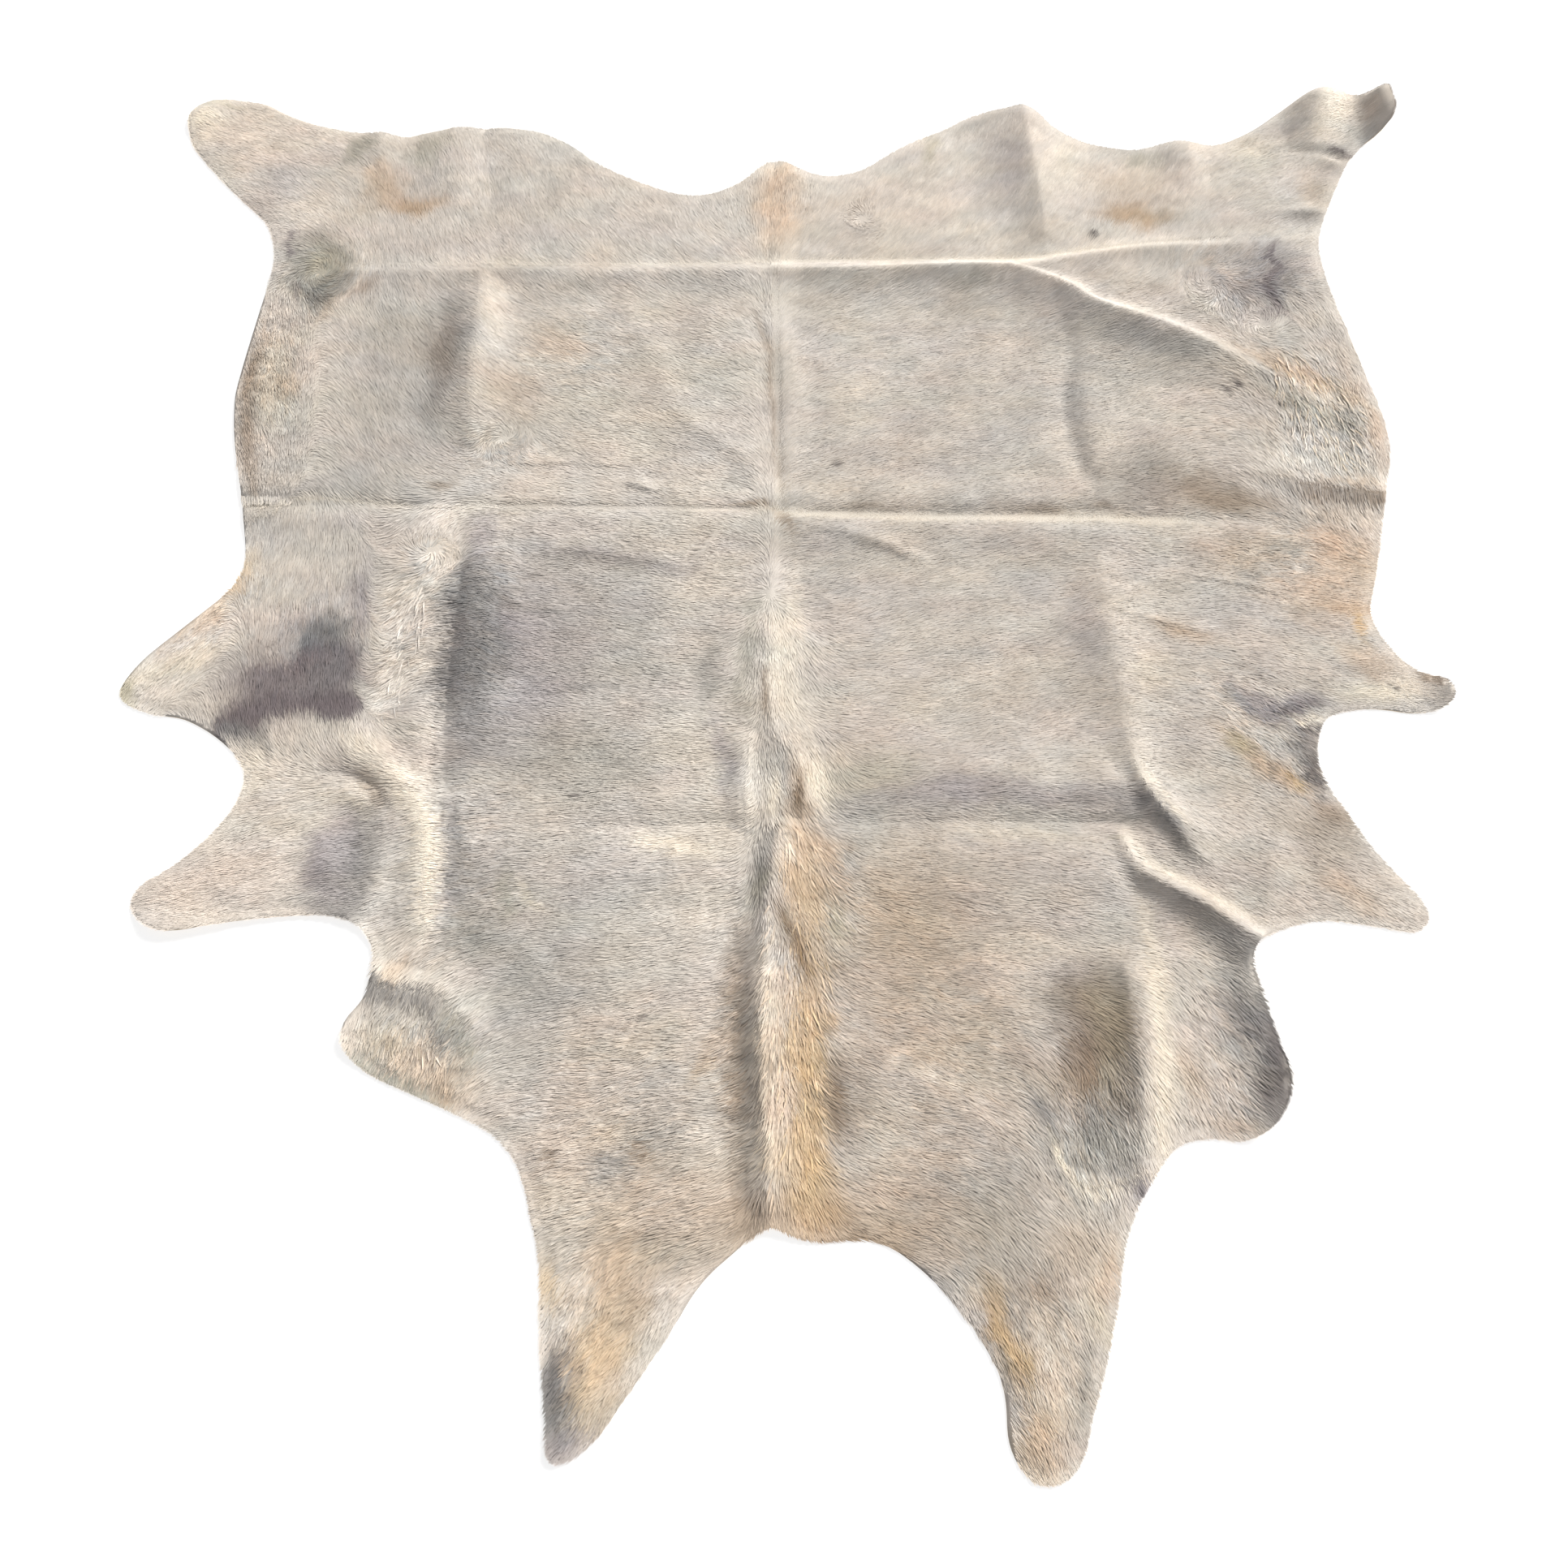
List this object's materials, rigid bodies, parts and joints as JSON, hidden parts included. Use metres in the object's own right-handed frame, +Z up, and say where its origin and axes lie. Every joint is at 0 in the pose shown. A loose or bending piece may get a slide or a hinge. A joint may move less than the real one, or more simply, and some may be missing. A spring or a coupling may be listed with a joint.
{
  "type": "cowhide rug",
  "caption": "Hair-on cattle hide laid out flat as a floor rug, with its natural outline of legs, flanks and neck, storage creases and turned-up rims.",
  "frame": {"origin": "middle of the rug's box, on the floor plane it lies on", "axes": "+Z up out of the hair side, +Y from the neck towards the rump, +X across the rug"},
  "size_m": [2.0614, 2.19, 0.0468],
  "materials": {
    "hide": "pale grey-beige short hair over tanned skin"
  },
  "bodies": {
    "root": {"hide": "hide"}
  },
  "joints": []
}
